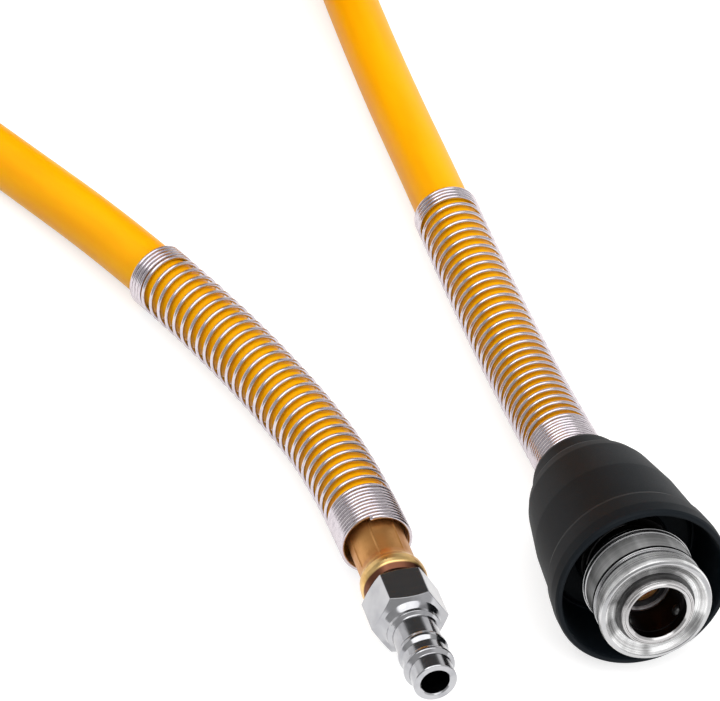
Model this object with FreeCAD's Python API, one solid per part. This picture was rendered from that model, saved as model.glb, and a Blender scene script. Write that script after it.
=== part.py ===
import FreeCAD, Part
import math
import os

Vector = FreeCAD.Vector

# Recoil air hose, millimetres. Both ends lie on the floor (z = 0): a plug nipple on one, a quick
# coupler in a rubber boot on the other. The length between them is put away in a coil behind.

# Hose
hose_od = 12.0
hose_bore = 8.0
squeezed_od = 9.9
squeezed_bore = 6.1
fit = 0.05
running_gap = 0.05

# Bend springs round the hose, wound from round wire
spring_wire = 1.1
spring_clearance = 0.1
close_pitch = 1.6
far_band_turns = 3
plug_spring_start = 12.2
plug_spring_band_turns = 5
plug_spring_open_turns = 30
plug_spring_near_pitch = 2.6
plug_spring_far_pitch = 2.87
coupler_spring_start = 5.6
coupler_spring_band_turns = 7
coupler_spring_open_turns = 29
coupler_spring_near_pitch = 2.4
coupler_spring_far_pitch = 3.05

# Crimp ferrules
ferrule_length = 17.0
ferrule_lip_r = 6.2
ferrule_crest_r = 6.4
ferrule_r = 5.45
ferrule_wall = 0.45
ferrule_ridges = 7
ridge_r = 0.5
ridge_height = 0.18
lip_behind_hex = 2.5
hose_end_behind_lip = 2.7
neck_r = 5.3
stem_bore_r = 1.8
barb_pitch = 3.4
barb_depth = 0.35

# Plug nipple, lengths back from its tip
plug_bore_r = 2.7
tip_r = 4.1
tip_length = 3.6
ridge_2_r = 4.85
groove_r = 4.35
ridge_1_r = 4.78
latch_neck_r = 4.4
collar_r = 5.15
plug_hex_front = 16.8
plug_hex_length = 9.0
plug_hex_flats = 13.0

# Coupler, lengths back from its nose
socket_bore_r = 5.3
socket_mouth_step = 0.2
socket_mouth_length = 2.0
barrel_r = 7.2
nose_step = 0.2
nose_bevel = 0.3
ball_depth = 3.7
ball_r = 1.25
ball_inset = 0.1
ball_seat_depth = 0.4
ball_stroke = 0.5
ball_count = 3
snap_ring_front = 1.55
snap_ring_wire = 0.6
snap_ring_groove = 0.45
sleeve_front = 1.0
sleeve_land_front = 2.25
sleeve_land_back = 7.4
sleeve_back = 12.8
sleeve_wall = 1.1
sleeve_flange_step = 0.6
sleeve_rim_step = 0.47
sleeve_travel = 5.0
sleeve_stop_gap = 0.7
collar_step = 1.8
barrel_back = 30.0
barrel_wall = 1.2
seal_front = 9.9
seal_length = 2.3
seal_bore_r = 4.0
seat_length = 1.3
seat_bore_r = 4.25
thread_depth = 0.5
washer_thickness = 1.0
washer_step = 0.7
adapter_hex_flats = 17.0
adapter_hex_length = 5.5

# Valve
poppet_r = 3.55
poppet_wall = 0.95
poppet_front = 10.2
poppet_clearance = 0.5
poppet_flange = 1.2
poppet_boss_r = 3.2
poppet_boss = 2.0
poppet_seal_thickness = 1.0
valve_travel = 3.5
valve_spring_wire = 0.8
valve_spring_inset = 1.0
valve_spring_turns = 4
sleeve_spring_wire = 0.9
sleeve_spring_room = 0.55
sleeve_spring_turns = 5

# Rubber boot, lengths back from its mouth
boot_mouth_behind_nose = 8.3
boot_mouth_r = 17.0
boot_wall = 1.4
boot_length = 40.3
boot_cavity = 13.2
boot_grip_clearance = 0.05
boot_tail_r = 9.6

# How the two ends lie: each fitting's open end, and the first bend of the hose on its axis
plug_tip_x = 3.1
plug_tip_y = -72.3
plug_tip_z = 12.8
plug_bend_x = -12.5
plug_bend_y = -12.6
coupler_nose_x = 43.9
coupler_nose_y = -61.9
coupler_nose_z = 20.0
coupler_bend_x = 25.1
coupler_bend_y = 9.8

# Put-away coil, standing on its turns with its axis along X: the coupler's end comes in at the
# bottom of its right side, the plug's end down its front at the left
coil_right = -9.2
coil_entry_y = 227.5
coil_diameter = 144.0
coil_pitch = 12.45
coil_whole_turns = 9
coil_last_angle = 255.0
coil_last_run = 27.5
arc_share = 0.45

squeezed_r = squeezed_od / 2
hose_r = hose_od / 2
spring_mean_r = hose_r + spring_clearance + spring_wire / 2
spring_r = spring_mean_r + spring_wire / 2
plug_hex_back = plug_hex_front + plug_hex_length
plug_lip = plug_hex_back + lip_behind_hex
adapter_hex_back = barrel_back + washer_thickness + adapter_hex_length
adapter_lip = adapter_hex_back + lip_behind_hex
seat_front = seal_front + seal_length
seat_back = seat_front + seat_length
socket_mouth_r = socket_bore_r + socket_mouth_step
socket_mouth_back = nose_bevel + socket_mouth_length
nose_r = barrel_r - nose_step
ball_reach = barrel_r - ball_inset - 2 * ball_r
sleeve_spring_r = barrel_r + sleeve_spring_room + sleeve_spring_wire / 2
sleeve_chamber_r = sleeve_spring_r + sleeve_spring_wire / 2 + sleeve_spring_room
sleeve_r = sleeve_chamber_r + sleeve_wall
sleeve_flange_r = sleeve_r + sleeve_flange_step
sleeve_rim_r = sleeve_r + sleeve_rim_step
barrel_collar_r = barrel_r + collar_step
chamber_r = barrel_r - barrel_wall
thread_r = chamber_r + thread_depth
poppet_flange_r = chamber_r - poppet_clearance
valve_spring_r = chamber_r - valve_spring_inset - valve_spring_wire / 2
collar_front = sleeve_back + sleeve_travel + sleeve_stop_gap
poppet_back = seat_back + fit + poppet_seal_thickness + poppet_flange
thread_front = poppet_back + valve_travel + valve_spring_wire * (valve_spring_turns + 1)
coil_turns = coil_whole_turns + coil_last_angle / 360


def corner(x, r):
    return Vector(x, 0, r)


# A closed outline of (x, r) points; four values are an arc's middle point and its end
def turned(*outline):
    points = [item if len(item) == 2 else item[2:] for item in outline]
    edges = []
    for index, item in enumerate(outline):
        start = corner(*points[index - 1])
        end = corner(*points[index])
        if len(item) == 4:
            edges.append(Part.Arc(start, corner(*item[:2]), end).toShape())
        elif start.distanceToPoint(end) > 1e-6:
            edges.append(Part.LineSegment(start, end).toShape())
    return Part.Face(Part.Wire(edges)).revolve(Vector(), Vector(1, 0, 0), 360)


def tube(front, back, outer_r, inner_r):
    return turned((-front, inner_r), (-front, outer_r), (-back, outer_r), (-back, inner_r))


# Hexagon bar with a flat facing up and its corners turned off at 30 degrees
def hex_bar(front, length, flats, bore_r):
    corner_r = flats / math.sqrt(3)
    bevel = (corner_r - flats / 2) * math.tan(math.radians(30))
    points = [
        Vector(-front, corner_r * math.cos(turn), corner_r * math.sin(turn))
        for turn in (math.radians(60 * side) for side in range(7))
    ]
    bar = Part.Face(Part.makePolygon(points)).extrude(Vector(-length, 0, 0))
    turning = turned(
        (-front, bore_r),
        (-front, flats / 2),
        (-front - bevel, corner_r),
        (-front - length + bevel, corner_r),
        (-front - length, flats / 2),
        (-front - length, bore_r),
    )
    return bar.common(turning)


# Frame of a fitting: +X out of its open end, +Z up and square to that
def axis_frame(origin, bend):
    along = (origin - bend).normalize()
    side = Vector(0, 0, 1).cross(along).normalize()
    above = along.cross(side)
    return FreeCAD.Placement(
        FreeCAD.Matrix(
            along.x, side.x, above.x, origin.x,
            along.y, side.y, above.y, origin.y,
            along.z, side.z, above.z, origin.z,
            0, 0, 0, 1,
        )
    )


# The hose lies on the floor, inside its bend springs on their outer turns
plug_bend = Vector(plug_bend_x, plug_bend_y, spring_r)
coupler_bend = Vector(coupler_bend_x, coupler_bend_y, spring_r)
plug_frame = axis_frame(Vector(plug_tip_x, plug_tip_y, plug_tip_z), plug_bend)
coupler_frame = axis_frame(Vector(coupler_nose_x, coupler_nose_y, coupler_nose_z), coupler_bend)


os.makedirs("parts", exist_ok=True)


def save(name, shape, frame=None):
    if frame is not None:
        shape = shape.copy()
        shape.Placement = frame.multiply(shape.Placement)
    shape.exportStep("parts/" + name + ".step")
    print(name, len(shape.Solids), shape.isValid(), round(shape.Volume, 1))
    return shape


# Straight runs joined by tangent arcs, each arc as large as its two runs allow
class Route:
    def __init__(self, points):
        self.spans = []
        self.radii = []
        here = points[0]
        for before, bend, after in zip(points, points[1:], points[2:]):
            entering = (bend - before).normalize()
            leaving = (after - bend).normalize()
            turn = entering.getAngle(leaving)
            tangent = arc_share * min((bend - before).Length, (after - bend).Length)
            radius = tangent / math.tan(turn / 2)
            start = bend - entering * tangent
            inward = (leaving - entering).normalize()
            centre = bend + inward * (radius / math.cos(turn / 2))
            self.add_line(here, start)
            self.spans.append((radius * turn, start, entering, centre, radius))
            self.radii.append(radius)
            here = bend + leaving * tangent
        self.add_line(here, points[-1])
        self.length = sum(span[0] for span in self.spans)

    def add_line(self, start, end):
        self.spans.append(((end - start).Length, start, (end - start).normalize(), None, 0))

    def at(self, distance):
        for length, start, ahead, centre, radius in self.spans:
            if distance <= length or (length, start) == self.spans[-1][:2]:
                break
            distance -= length
        if centre is None:
            return start + ahead * distance, Vector(ahead)
        turn = distance / radius
        outward = (start - centre).normalize()
        place = centre + outward * (radius * math.cos(turn)) + ahead * (radius * math.sin(turn))
        return place, ahead * math.cos(turn) - outward * math.sin(turn)

    # The wire of the route from one distance to its end
    def wire(self, begin):
        edges = []
        passed = 0.0
        for length, start, ahead, centre, radius in self.spans:
            first = max(begin, passed)
            last = passed + length
            passed = last
            if last - first < 1e-6:
                continue
            if centre is None:
                edges.append(Part.LineSegment(self.at(first)[0], self.at(last)[0]).toShape())
            else:
                middle = self.at((first + last) / 2)[0]
                edges.append(Part.Arc(self.at(first)[0], middle, self.at(last)[0]).toShape())
        return Part.Wire(edges)


# Two tangent arcs from one point and direction to another
def biarc(start, start_direction, end, end_direction):
    chord = end - start
    both = start_direction + end_direction
    a = both.dot(both) - 4
    b = -2 * chord.dot(both)
    c = chord.dot(chord)
    reach = (-b - math.sqrt(b * b - 4 * a * c)) / (2 * a)
    first_corner = start + start_direction * reach
    second_corner = end - end_direction * reach
    joint = (first_corner + second_corner) * 0.5
    return [arc_round(start, first_corner, joint), arc_round(joint, second_corner, end)]


def arc_round(start, bend, end):
    chord_middle = (start + end) * 0.5
    half = start.distanceToPoint(end) / 2
    cosine = half / start.distanceToPoint(bend)
    middle = bend + (chord_middle - bend) * (1 / (1 + cosine))
    return Part.Arc(start, middle, end).toShape()


# A winding through place(turn) from turn 0 to the last, with a straight end at each side
def winding(place, turns, steps, straight):
    step = turns / steps
    points = [place(index * step) for index in range(steps + 1)]
    tiny = 1e-4
    directions = [
        (place(index * step + tiny) - place(index * step - tiny)).normalize()
        for index in range(steps + 1)
    ]
    lead_in = points[0] - directions[0] * straight
    lead_out = points[-1] + directions[-1] * straight
    edges = [Part.LineSegment(lead_in, points[0]).toShape()]
    for index in range(steps):
        edges += biarc(points[index], directions[index], points[index + 1], directions[index + 1])
    edges.append(Part.LineSegment(points[-1], lead_out).toShape())
    return Part.Wire(edges)


# Least distance between points of the wire over half a turn apart, less the tube's own diameter
def least_gap(wire, turns, diameter):
    per_turn = 24
    points = wire.discretize(Number=int(turns * per_turn) + 1)
    window = 2 * per_turn
    least = min(
        points[i].distanceToPoint(points[j])
        for i in range(len(points))
        for j in range(i + per_turn // 2, min(len(points), i + window))
    )
    return least - diameter


def swept(wire, radius):
    start = wire.Edges[0].firstVertex().Point
    ahead = wire.Edges[0].tangentAt(wire.Edges[0].FirstParameter)
    sweep = Part.BRepOffsetAPI.MakePipeShell(wire)
    sweep.add(Part.Wire(Part.makeCircle(radius, start, ahead)), False, False)
    sweep.build()
    return sweep


def rod(wire, radius):
    sweep = swept(wire, radius)
    sweep.makeSolid()
    return sweep.shape()


# A hollow pipe along a wire: two swept walls closed by a ring at each end
def pipe(wire, outer_r, inner_r):
    outside = swept(wire, outer_r)
    inside = swept(wire, inner_r)
    ends = [
        Part.makeFace([outside.firstShape(), inside.firstShape()], "Part::FaceMakerBullseye"),
        Part.makeFace([outside.lastShape(), inside.lastShape()], "Part::FaceMakerBullseye"),
    ]
    shell = Part.makeShell(outside.shape().Faces + inside.shape().Faces + ends)
    shell.sewShape()
    solid = Part.makeSolid(shell)
    if solid.Volume < 0:
        solid.reverse()
    expected = math.pi * (outer_r**2 - inner_r**2) * wire.Length
    print("pipe volume against section times length", round(solid.Volume / expected, 4))
    return solid


# Put-away coil

coil_r = coil_diameter / 2
coil_height = coil_r + hose_r
coil_y = coil_entry_y + hose_od


# The first and last turns ease in and out, so that both ends lie square to the coil's axis
def coil_advance(turn):
    if turn < 1:
        return 2 * turn**2 - turn**3
    if turn > coil_turns - 1:
        rest = coil_turns - turn
        return coil_turns - 2 * rest**2 + rest**3
    return turn


def coil_place(turn):
    angle = 2 * math.pi * turn
    return Vector(
        coil_right - coil_pitch * coil_advance(turn),
        coil_y + coil_r * math.sin(angle),
        coil_height - coil_r * math.cos(angle),
    )


last_angle = math.radians(coil_last_angle)
coil_exit_direction = Vector(0, math.cos(last_angle), math.sin(last_angle))
coil_exit = coil_place(coil_turns) + coil_exit_direction * hose_od
coil_entry = coil_place(0) - Vector(0, hose_od, 0)

# Hose routes, each from its fitting to the coil

plug_hose_start = plug_frame.multVec(Vector(-plug_lip - hose_end_behind_lip, 0, 0))
coupler_hose_start = coupler_frame.multVec(Vector(-adapter_lip - hose_end_behind_lip, 0, 0))

plug_route = Route([
    plug_hose_start,
    plug_bend,
    Vector(-27.7, 15.1, spring_r),
    Vector(-45.7, 40.8, spring_r),
    Vector(-65.3, 64.9, spring_r),
    Vector(-84.6, 87.0, hose_r),
    Vector(-103.4, 107.2, hose_r),
    Vector(-117.2, 126.4, 14.7),
    Vector(-126.0, 144.4, 31.4),
    coil_exit + coil_exit_direction * coil_last_run,
    coil_exit,
])

coupler_route = Route([
    coupler_hose_start,
    coupler_bend,
    Vector(14.6, 45.3, spring_r),
    Vector(4.9, 82.1, spring_r),
    Vector(-3.0, 112.3, hose_r),
    Vector(-10.4, 141.8, hose_r),
    Vector(-16.0, 165.8, hose_r),
    Vector(-14.6, 188.2, hose_r),
    Vector(coil_entry.x, 209.9, hose_r),
    coil_entry,
])

neck_length = ferrule_length - hose_end_behind_lip
shoulder_length = 2.5
pipe_begin = neck_length + shoulder_length


# The hose is squeezed down inside its ferrule and swells to full size behind it
def squeezed_end(lip):
    start = -lip - hose_end_behind_lip
    neck_end = start - neck_length
    full = neck_end - shoulder_length
    return turned(
        (start, squeezed_bore / 2),
        (start, squeezed_r),
        (neck_end, squeezed_r),
        (full, hose_r),
        (full, hose_bore / 2),
        (neck_end - shoulder_length / 3, squeezed_bore / 2),
    )


def hose_run(route, lip, frame):
    end = squeezed_end(lip)
    end.Placement = frame
    return end.fuse(pipe(route.wire(pipe_begin), hose_r, hose_bore / 2))


coil_wire = winding(coil_place, coil_turns, round(coil_turns * 4), hose_od)
print("plug hose radii", [round(radius) for radius in plug_route.radii])
print("coupler hose radii", [round(radius) for radius in coupler_route.radii])
print("hose length", round(plug_route.length + coupler_route.length + coil_wire.Length, 1))
print("coil gap", round(least_gap(coil_wire, coil_turns, hose_od), 2))

save("hose_coil", pipe(coil_wire, hose_r, hose_bore / 2))
save("hose_run_plug_end", hose_run(plug_route, plug_lip, plug_frame))
save("hose_run_coupler_end", hose_run(coupler_route, adapter_lip, coupler_frame))


# Bend spring round the hose: a close band behind the ferrule, open turns whose pitch grows
# evenly, and a close band at the far end
def bend_spring(name, route, start_behind_lip, band_turns, open_turns, near_pitch, far_pitch):
    begin = start_behind_lip - hose_end_behind_lip + spring_wire / 2
    growth = (far_pitch - near_pitch) / open_turns
    turns = band_turns + open_turns + far_band_turns
    near_band = close_pitch * band_turns
    open_length = near_pitch * open_turns + growth * open_turns**2 / 2

    def travelled(turn):
        if turn <= band_turns:
            return close_pitch * turn
        opened = min(turn - band_turns, open_turns)
        closed = max(0, turn - band_turns - open_turns)
        return near_band + near_pitch * opened + growth * opened**2 / 2 + close_pitch * closed

    def place(turn):
        centre, ahead = route.at(begin + travelled(turn))
        side = ahead.cross(Vector(0, 0, 1)).normalize()
        up = side.cross(ahead)
        angle = 2 * math.pi * turn
        return centre + up * (spring_mean_r * math.cos(angle)) + side * (spring_mean_r * math.sin(angle))

    wire = winding(place, turns, round(turns * 2), spring_wire)
    print(name, "length", round(near_band + open_length + close_pitch * far_band_turns, 1),
          "gap", round(least_gap(wire, turns, spring_wire), 2))
    save(name, rod(wire, spring_wire / 2))


bend_spring("bend_spring_plug_end", plug_route, plug_spring_start, plug_spring_band_turns,
            plug_spring_open_turns, plug_spring_near_pitch, plug_spring_far_pitch)
bend_spring("bend_spring_coupler_end", coupler_route, coupler_spring_start, coupler_spring_band_turns,
            coupler_spring_open_turns, coupler_spring_near_pitch, coupler_spring_far_pitch)


# Helical spring on the coupler's axis between two depths, with its outer faces there
def coupler_spring(name, front, back, mean_r, wire_diameter, turns):
    first = front + wire_diameter / 2
    pitch = (back - front - wire_diameter) / turns

    def place(turn):
        angle = 2 * math.pi * turn
        return Vector(-first - pitch * turn, mean_r * math.sin(angle), mean_r * math.cos(angle))

    wire = winding(place, turns, turns * 2, wire_diameter)
    print(name, "gap", round(least_gap(wire, turns, wire_diameter), 2))
    save(name, rod(wire, wire_diameter / 2), coupler_frame)


# Crimped ferrule with its flared front lip, its front face recessed round the fitting's neck
def ferrule(lip):
    inner_r = ferrule_r - ferrule_wall
    crest = lip + 2.3
    flare_end = lip + 5.2
    recess = 0.8
    body = turned(
        (-lip, neck_r + 0.6),
        (-lip, ferrule_lip_r),
        (-lip - 1.2, ferrule_crest_r + 0.03, -crest, ferrule_crest_r),
        (-crest - 1.2, ferrule_r + 0.35, -flare_end, ferrule_r),
        (-lip - ferrule_length, ferrule_r),
        (-lip - ferrule_length, inner_r),
        (-lip - hose_end_behind_lip, inner_r),
        (-lip - hose_end_behind_lip, neck_r + fit),
        (-lip - recess, neck_r + fit),
    )
    ridges = []
    for index in range(ferrule_ridges):
        angle = math.radians(33.5 - index * 360 / ferrule_ridges)
        reach = ferrule_r + ridge_height - ridge_r
        foot = Vector(-flare_end, reach * math.sin(angle), reach * math.cos(angle))
        length = ferrule_length - (flare_end - lip)
        ridges.append(Part.makeCylinder(ridge_r, length, foot, Vector(-1, 0, 0)))
    bore = Part.makeCylinder(inner_r, ferrule_length, Vector(-lip, 0, 0), Vector(-1, 0, 0))
    outer = body.fuse(ridges)
    hollow = bore.cut(body)
    return outer.cut(hollow).removeSplitter()


save("ferrule_plug_end", ferrule(plug_lip), plug_frame)
save("ferrule_coupler_end", ferrule(adapter_lip), coupler_frame)


# Outline of the barbed stem inside the hose, from the neck's back to the bore at its end
def barbed_stem(lip):
    barb_r = squeezed_bore / 2 - fit
    start = lip + hose_end_behind_lip - fit
    end = lip + ferrule_length - 1.0
    points = [(-start, neck_r), (-start, barb_r - barb_depth)]
    barbs = int((end - start) / barb_pitch)
    for index in range(barbs):
        crest = start + barb_pitch * index + 1.0
        points += [(-crest, barb_r - barb_depth), (-crest, barb_r)]
        points.append((-crest - barb_pitch + 1.0, barb_r - barb_depth))
    points += [(-end, barb_r - barb_depth), (-end, stem_bore_r)]
    return points


def plug_nipple():
    body = turned(
        (-0.2, plug_bore_r),
        (0, plug_bore_r + 0.2),
        (0, tip_r - 0.3),
        (-0.3, tip_r),
        (-tip_length, tip_r),
        (-4.2, ridge_2_r),
        (-4.6, ridge_2_r),
        (-5.4, groove_r),
        (-7.3, groove_r),
        (-8.2, ridge_1_r),
        (-8.9, ridge_1_r),
        (-9.6, latch_neck_r),
        (-14.3, latch_neck_r),
        (-14.75, latch_neck_r + 0.25, -14.9, collar_r),
        (-15.4, collar_r),
        (-plug_hex_front, plug_hex_flats / 2 - 0.3),
        (-plug_hex_back + 1, plug_hex_flats / 2 - 0.3),
        (-plug_hex_back + 1, neck_r),
        *barbed_stem(plug_lip),
        (-plug_hex_back, stem_bore_r),
        (-plug_hex_back + 2, plug_bore_r),
    )
    bar = hex_bar(plug_hex_front, plug_hex_length, plug_hex_flats, plug_bore_r + 1)
    return body.fuse(bar).removeSplitter()


save("plug_nipple", plug_nipple(), plug_frame)


# Coupler body

def ball_direction(index):
    angle = 2 * math.pi * index / ball_count
    return Vector(0, math.sin(angle), math.cos(angle))


def coupler_barrel():
    groove_back = snap_ring_front + snap_ring_wire
    body = turned(
        (0, socket_mouth_r + nose_bevel),
        (-0.3, 6.6),
        (-0.75, nose_r),
        (-snap_ring_front, nose_r),
        (-snap_ring_front, barrel_r - snap_ring_groove),
        (-groove_back, barrel_r - snap_ring_groove),
        (-groove_back, barrel_r),
        (-collar_front, barrel_r),
        (-collar_front, barrel_collar_r),
        (-barrel_back, barrel_collar_r),
        (-barrel_back, thread_r),
        (-thread_front, thread_r),
        (-thread_front, chamber_r),
        (-seal_front, chamber_r),
        (-seal_front, socket_bore_r),
        (-socket_mouth_back, socket_bore_r),
        (-socket_mouth_back, socket_mouth_r),
        (-nose_bevel, socket_mouth_r),
    )
    centre_r = ball_reach + ball_r
    stop_r = ball_r - running_gap
    for index in range(ball_count):
        out = ball_direction(index)
        seat = Vector(-ball_depth, 0, 0) + out * (centre_r - ball_seat_depth)
        body = body.cut(Part.makeCylinder(ball_r + running_gap, barrel_r, seat, out))
        body = body.cut(Part.makeCylinder(stop_r, barrel_r, Vector(-ball_depth, 0, 0), out))
    return body


save("coupler_barrel", coupler_barrel(), coupler_frame)

for number in range(ball_count):
    ball_centre = Vector(-ball_depth, 0, 0) + ball_direction(number) * (ball_reach + ball_r)
    save("locking_ball_%d" % (number + 1), Part.makeSphere(ball_r, ball_centre), coupler_frame)


# Wire ring in the barrel's groove that stops the sleeve, with its gap at the bottom
def retaining_ring():
    inner_r = barrel_r - snap_ring_groove + fit
    ring = tube(snap_ring_front, snap_ring_front + snap_ring_wire, barrel_r + 0.3, inner_r)
    gap = Part.makeBox(4, 2.4, 4, Vector(-4, -1.2, -barrel_r - 2))
    return ring.cut(gap)


save("retaining_ring", retaining_ring(), coupler_frame)


# Locking sleeve: a round front flange, a groove and a step, a plain band and a rear rim
def locking_sleeve():
    slide_r = barrel_r + running_gap
    return turned(
        (-sleeve_land_front, slide_r + ball_stroke / 2),
        (-1.5, sleeve_chamber_r),
        (-sleeve_front, sleeve_r, -1.6, sleeve_flange_r),
        (-4.4, sleeve_flange_r - 0.3),
        (-5.1, sleeve_r - 0.05),
        (-5.9, sleeve_r - 0.05),
        (-5.9, sleeve_r + 0.3),
        (-6.7, sleeve_r + 0.3),
        (-6.7, sleeve_r),
        (-11.2, sleeve_r),
        (-11.35, sleeve_r + 0.25),
        (-11.7, sleeve_r + 0.25),
        (-11.7, sleeve_r - 0.2),
        (-12.0, sleeve_r - 0.2),
        (-12.0, sleeve_rim_r),
        (-sleeve_back, sleeve_rim_r),
        (-sleeve_back, sleeve_chamber_r),
        (-sleeve_land_back, sleeve_chamber_r),
        (-sleeve_land_back, slide_r),
        (-ball_depth - 0.2, slide_r),
    )


save("locking_sleeve", locking_sleeve(), coupler_frame)
coupler_spring("sleeve_spring", sleeve_land_back + fit, collar_front - fit,
               sleeve_spring_r, sleeve_spring_wire, sleeve_spring_turns)

save("plug_seal", tube(seal_front, seat_front, chamber_r - fit, seal_bore_r), coupler_frame)
save("valve_seat", tube(seat_front, seat_back, chamber_r - fit, seat_bore_r), coupler_frame)


# Valve poppet: an open front tube with cross ports, a flange behind the seal and a spring boss
def valve_poppet():
    flange_front = poppet_back - poppet_flange
    boss_back = poppet_back + poppet_boss
    body = turned(
        (-poppet_front, poppet_r - poppet_wall),
        (-poppet_front, poppet_r),
        (-flange_front, poppet_r),
        (-flange_front, poppet_flange_r),
        (-poppet_back, poppet_flange_r),
        (-poppet_back, poppet_boss_r),
        (-boss_back, poppet_boss_r - 0.4),
        (-boss_back, 0),
        (-flange_front, 0),
        (-flange_front, poppet_r - poppet_wall),
    )
    port_x = -(poppet_front + flange_front) / 2
    for across in (Vector(0, 1, 0), Vector(0, 0, 1)):
        foot = Vector(port_x, 0, 0) - across * (poppet_r + 1)
        body = body.cut(Part.makeCylinder(0.9, 2 * poppet_r + 2, foot, across))
    return body


save("valve_poppet", valve_poppet(), coupler_frame)
seal_start = seat_back + fit
save("valve_seal", tube(seal_start, seal_start + poppet_seal_thickness, poppet_flange_r, poppet_r + fit),
     coupler_frame)
coupler_spring("valve_spring", poppet_back + fit, thread_front - fit,
               valve_spring_r, valve_spring_wire, valve_spring_turns)


# Rear adapter: a threaded front, a hexagon, a neck and the barbed stem in the hose
def rear_adapter():
    hex_front = barrel_back + washer_thickness
    body = turned(
        (-thread_front, 3.6),
        (-thread_front, thread_r - fit),
        (-hex_front - 1, thread_r - fit),
        (-adapter_hex_back, neck_r),
        *barbed_stem(adapter_lip),
        (-adapter_hex_back, stem_bore_r),
        (-barrel_back, 3.6),
    )
    return body.fuse(hex_bar(hex_front, adapter_hex_length, adapter_hex_flats, 4.6)).removeSplitter()


save("rear_adapter", rear_adapter(), coupler_frame)
washer_r = barrel_collar_r - washer_step
save("thread_seal", tube(barrel_back, barrel_back + washer_thickness, washer_r, thread_r), coupler_frame)


# Rubber boot: an open mouth round the sleeve, a dome at the back and a ledge round the spring
def coupler_boot():
    mouth = boot_mouth_behind_nose
    grip_r = barrel_collar_r + boot_grip_clearance
    hex_room_r = adapter_hex_flats / math.sqrt(3) + 0.2
    tail_bore_r = spring_r + 0.2
    cavity_floor = mouth + boot_cavity
    end = mouth + boot_length
    return turned(
        (-mouth - 0.5, boot_mouth_r - boot_wall),
        (-mouth, boot_mouth_r - boot_wall / 2, -mouth - 0.5, boot_mouth_r),
        (-mouth - 3.0, boot_mouth_r),
        (-mouth - 7.2, boot_mouth_r - 0.5),
        (-mouth - 8.3, boot_mouth_r - 0.95),
        (-mouth - 20.0, 14.9),
        (-mouth - 30.2, 13.15, -mouth - 34.8, 11.1),
        (-mouth - 35.2, boot_tail_r + 0.7),
        (-end + 1.0, boot_tail_r),
        (-end, boot_tail_r - 0.8),
        (-end, tail_bore_r),
        (-adapter_hex_back - 1, tail_bore_r),
        (-adapter_hex_back - 1, hex_room_r),
        (-barrel_back, hex_room_r),
        (-barrel_back, grip_r),
        (-cavity_floor, grip_r),
        (-cavity_floor, boot_mouth_r - boot_wall - 2.2),
        (-cavity_floor + 2, boot_mouth_r - boot_wall - 0.9),
    )


boot = save("coupler_boot", coupler_boot(), coupler_frame)
print("boot lowest", round(boot.BoundBox.ZMin, 3))
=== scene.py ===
import math
import bpy
import numpy as np
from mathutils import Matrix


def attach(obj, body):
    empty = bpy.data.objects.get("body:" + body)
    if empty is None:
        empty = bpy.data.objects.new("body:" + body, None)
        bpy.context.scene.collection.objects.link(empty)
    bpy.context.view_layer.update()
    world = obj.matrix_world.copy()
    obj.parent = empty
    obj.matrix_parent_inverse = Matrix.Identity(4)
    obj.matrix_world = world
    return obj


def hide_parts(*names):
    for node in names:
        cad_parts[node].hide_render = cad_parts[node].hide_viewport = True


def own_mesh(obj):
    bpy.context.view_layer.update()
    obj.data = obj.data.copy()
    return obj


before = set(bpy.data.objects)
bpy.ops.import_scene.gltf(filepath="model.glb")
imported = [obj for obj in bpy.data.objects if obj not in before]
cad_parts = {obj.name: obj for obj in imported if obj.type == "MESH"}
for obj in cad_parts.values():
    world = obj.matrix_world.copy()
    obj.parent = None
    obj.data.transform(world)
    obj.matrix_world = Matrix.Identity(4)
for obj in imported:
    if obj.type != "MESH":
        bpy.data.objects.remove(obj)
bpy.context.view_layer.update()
print("frame loaded")

# Sizes are in metres and directions in the CAD's frame: +Z up, the fittings point towards -Y.
mm = 0.001


# How the photograph looks at the hose

photoView = {
    "place": (-0.01066, -0.49185, 0.4575), "tiltDown": 41.0, "lens": 167.5, "sensor": 36.0,
    "nearest": 0.02, "farthest": 60,
}

cameraData = bpy.data.cameras.new("photoCamera")
cameraData.lens = photoView["lens"]
cameraData.sensor_width = photoView["sensor"]
cameraData.clip_start = photoView["nearest"]
cameraData.clip_end = photoView["farthest"]
camera = bpy.data.objects.new("photoCamera", cameraData)
camera.location = photoView["place"]
camera.rotation_euler = (math.radians(90 - photoView["tiltDown"]), 0, 0)
bpy.context.scene.collection.objects.link(camera)
bpy.context.scene.camera = camera
print("camera placed")


# Where the fittings and the hose lie

plugLay = {
    "tip": (0.0031, -0.0723, 0.0128), "bend": (-0.0125, -0.0126, 0.0072), "hoseStart": 0.031,
}
couplerLay = {
    "tip": (0.0439, -0.0619, 0.0200), "bend": (0.0251, 0.0098, 0.0072), "hoseStart": 0.0417,
}

hoseLay = {
    "diameter": 0.012,
    "length": 4.965,
    "fromPlug": [
        (-0.0277, 0.0151, 0.0072), (-0.0457, 0.0408, 0.0072), (-0.0653, 0.0649, 0.0072),
        (-0.0846, 0.087, 0.006), (-0.1034, 0.1072, 0.006), (-0.1172, 0.1264, 0.0147),
        (-0.126, 0.1444, 0.0314),
    ],
    "toCoupler": [
        (-0.0092, 0.2099, 0.006), (-0.0146, 0.1882, 0.006), (-0.016, 0.1658, 0.006),
        (-0.0104, 0.1418, 0.006), (-0.003, 0.1123, 0.006), (0.0049, 0.0821, 0.0072),
        (0.0146, 0.0453, 0.0072),
    ],
    "coilRight": -0.0092, "coilY": 0.2395, "coilHeight": 0.078, "coilRadius": 0.072,
    "coilPitch": 0.01245, "coilTurns": 9 + 255 / 360, "pointsPerTurn": 16,
    "lastRun": 0.0395,
}


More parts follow.
